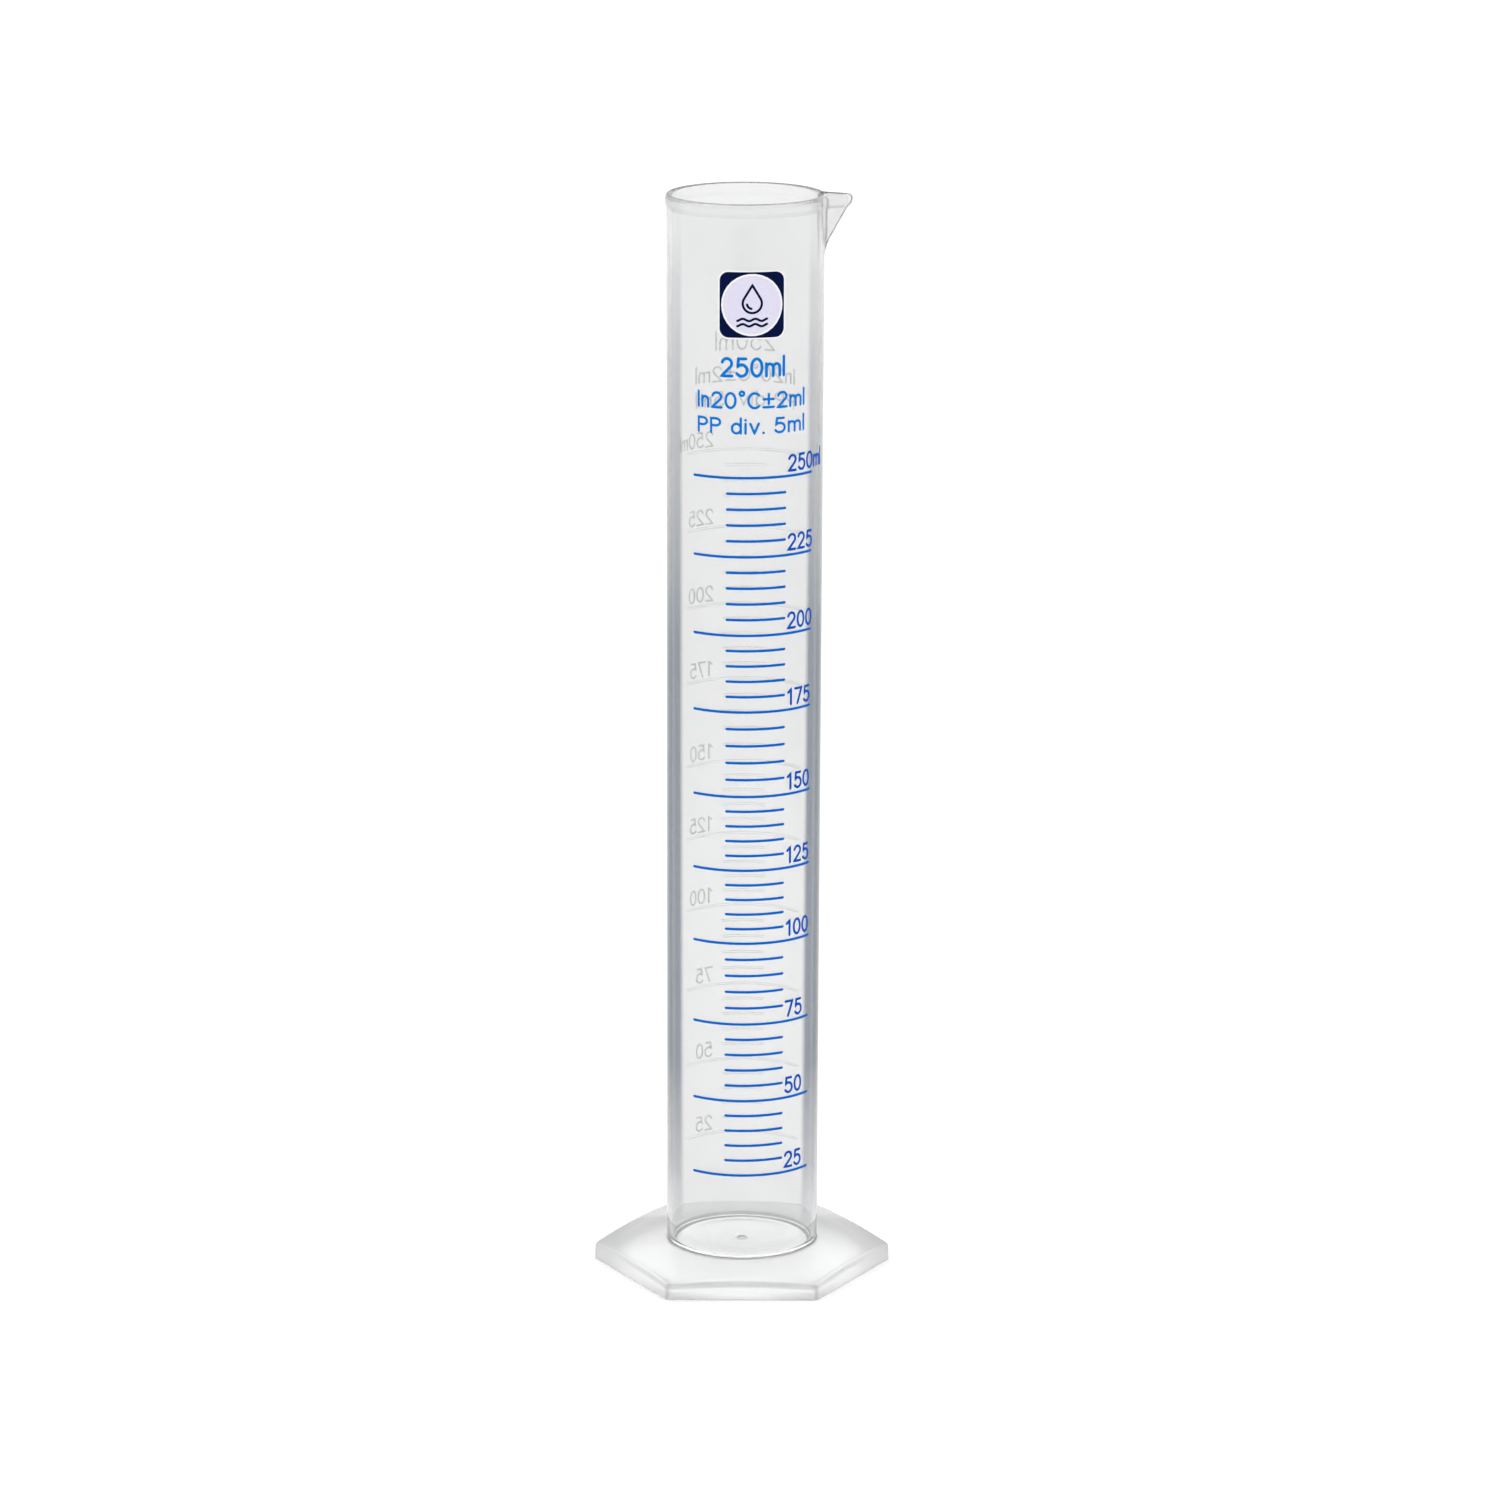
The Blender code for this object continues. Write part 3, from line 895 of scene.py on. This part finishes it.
def build_raised_numerals():
    for volume, z in scale_heights().items():
        if is_long(volume):
            left = RAISED_NUMERAL_LEFT * tube_radius(z)
            base_z = z + RAISED_NUMERAL_RISE
            strokes, _ = lettering(numeral_text(volume), RAISED_NUMERAL_HEIGHT, RAISED_STROKE, left, base_z)
            raised_piece(f"raised_numeral_{volume:03d}", strokes)


# ---------------------------------------------------------------- nameplate


def rounded_square(half, corner):
    points = []
    for cx, cy, start in ((1, 1, 0), (-1, 1, 90), (-1, -1, 180), (1, -1, 270)):
        points += arc(cx * (half - corner), cy * (half - corner), corner, corner, start, start + 90)
    return points


def emblem():
    """A plain droplet with a glint, over two waves, as strokes about the nameplate's middle."""
    drop_y, drop_r, drop_top, glint_r = 0.4, 2.5, 5.2, 1.4
    wave_half, wave_rise, wave_rate = 3.9, 0.3, 1.9
    strokes = [(arc(0, drop_y, drop_r, drop_r, -215, 35) + [(0.0, drop_top)], True)]
    for level in (-3.9, -5.3):
        along = np.linspace(-wave_half, wave_half, 40)
        strokes.append(([(x, level + wave_rise * math.sin(x * wave_rate)) for x in along], False))
    strokes.append((arc(0, drop_y, glint_r, glint_r, 190, 260), False))
    return strokes


def plate_strokes(name, strokes, center_z, stroke, height, material):
    """Strokes about the nameplate's middle, printed on the tube."""
    placed = [([(x, center_z + y) for x, y in points], closed) for points, closed in strokes]
    attach(strokes_on_tube(name, placed, stroke, PLATE_TURN, material, height=height), "plate_ink")


def build_nameplate():
    low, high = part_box("nameplate")
    z = (low.z + high.z) / 2 / MM
    half = (high.z - low.z) / 2 / MM

    def square_height(x):
        into = np.maximum(np.abs(x) - (half - PLATE_CORNER), 0.0)
        return half - PLATE_CORNER + np.sqrt(np.maximum(PLATE_CORNER**2 - into**2, 0.0))

    def disc_height(x):
        return np.sqrt(np.maximum(DISC_R**2 - x**2, 0.0))

    plate = sheet_on_tube(
        "nameplate_print", half, square_height, z, PLATE_TURN, INK_LIFT, INK_HEIGHT, navy_ink
    )
    attach(plate, "plate_ink", "nameplate")
    border = rounded_square(half + PLATE_BORDER, PLATE_CORNER + PLATE_BORDER)
    plate_strokes("nameplate_border", [(border, True)], z, BORDER_STROKE, BORDER_HEIGHT, white_ink)
    disc_lift = INK_LIFT + BORDER_HEIGHT
    face = sheet_on_tube(
        "nameplate_disc", DISC_R, disc_height, z, PLATE_TURN, disc_lift, DISC_HEIGHT, pale_ink
    )
    attach(face, "plate_ink")
    ring_r = DISC_R - RING_INSET
    ring = arc(0, 0, ring_r, ring_r, 0, 360, True)
    plate_strokes("nameplate_ring", [(ring, True)], z, RING_STROKE, RING_HEIGHT, white_ink)
    plate_strokes("nameplate_emblem", emblem(), z, EMBLEM_STROKE, EMBLEM_HEIGHT, navy_ink)


# ---------------------------------------------------------------- studio


def floor_paint():
    """Matt white that glows a little, and more in a round patch under the foot."""
    paint, tree, shader = shader_of("floor_paint", Roughness=0.9, Specular_IOR_Level=0.1)
    color = ramp(tree, noise(tree, 3.0), (0.3, grey(0.90)), (0.7, grey(0.92)))
    tree.links.new(color, shader.inputs["Base Color"])
    shader.inputs["Emission Color"].default_value = (1.0, 1.0, 1.0, 1.0)
    place = tree.nodes.new("ShaderNodeTexCoord")
    from_axis = tree.nodes.new("ShaderNodeVectorMath")
    from_axis.operation = "LENGTH"
    patch = tree.nodes.new("ShaderNodeMapRange")
    patch.inputs["From Min"].default_value = PATCH_FULL_R * MM
    patch.inputs["From Max"].default_value = PATCH_END_R * MM
    patch.inputs["To Min"].default_value = PATCH_GLOW
    patch.inputs["To Max"].default_value = FLOOR_GLOW
    tree.links.new(place.outputs["Object"], from_axis.inputs[0])
    tree.links.new(from_axis.outputs["Value"], patch.inputs["Value"])
    tree.links.new(patch.outputs["Result"], shader.inputs["Emission Strength"])
    return paint


def build_stage():
    corners = [(-1, -1), (1, -1), (1, 1), (-1, 1)]
    mesh = bpy.data.meshes.new("floor")
    mesh.from_pydata([(x * FLOOR_HALF, y * FLOOR_HALF, 0) for x, y in corners], [], [(0, 1, 2, 3)])
    mesh.materials.append(floor_paint())
    floor = bpy.data.objects.new("floor", mesh)
    bpy.context.scene.collection.objects.link(floor)


def build_lights():
    """A white studio whose walls are darker between 9 and 22 degrees above the horizon."""
    world = bpy.data.worlds.new("studio")
    bpy.context.scene.world = world
    world.use_nodes = True
    tree = world.node_tree
    place = tree.nodes.new("ShaderNodeTexCoord")
    split = tree.nodes.new("ShaderNodeSeparateXYZ")
    tree.links.new(place.outputs["Generated"], split.inputs[0])
    stops = [(math.sin(math.radians(elevation)), grey(level)) for elevation, level in WALL_BY_ELEVATION]
    background = tree.nodes["Background"]
    tree.links.new(ramp(tree, split.outputs["Z"], *stops), background.inputs["Color"])
    background.inputs["Strength"].default_value = WORLD_STRENGTH


def build_camera():
    camera = bpy.data.cameras.new("camera")
    camera.sensor_width = CAMERA_SENSOR
    camera.lens = CAMERA_LENS
    made = bpy.data.objects.new("camera", camera)
    bpy.context.scene.collection.objects.link(made)
    roll = Matrix.Rotation(CAMERA_ROLL, 4, "Z")
    tilt = Matrix.Rotation(math.pi / 2 - CAMERA_PITCH, 4, "X")
    pan = Matrix.Rotation(-CAMERA_YAW, 4, "Z")
    made.matrix_world = Matrix.Translation(CAMERA_PLACE) @ pan @ tilt @ roll
    bpy.context.scene.camera = made


build_camera()
build_vessel()
build_foot()
build_scale()
build_text()
build_nameplate()
build_raised_numerals()
build_stage()
build_lights()
bpy.context.scene.view_settings.view_transform = "Standard"
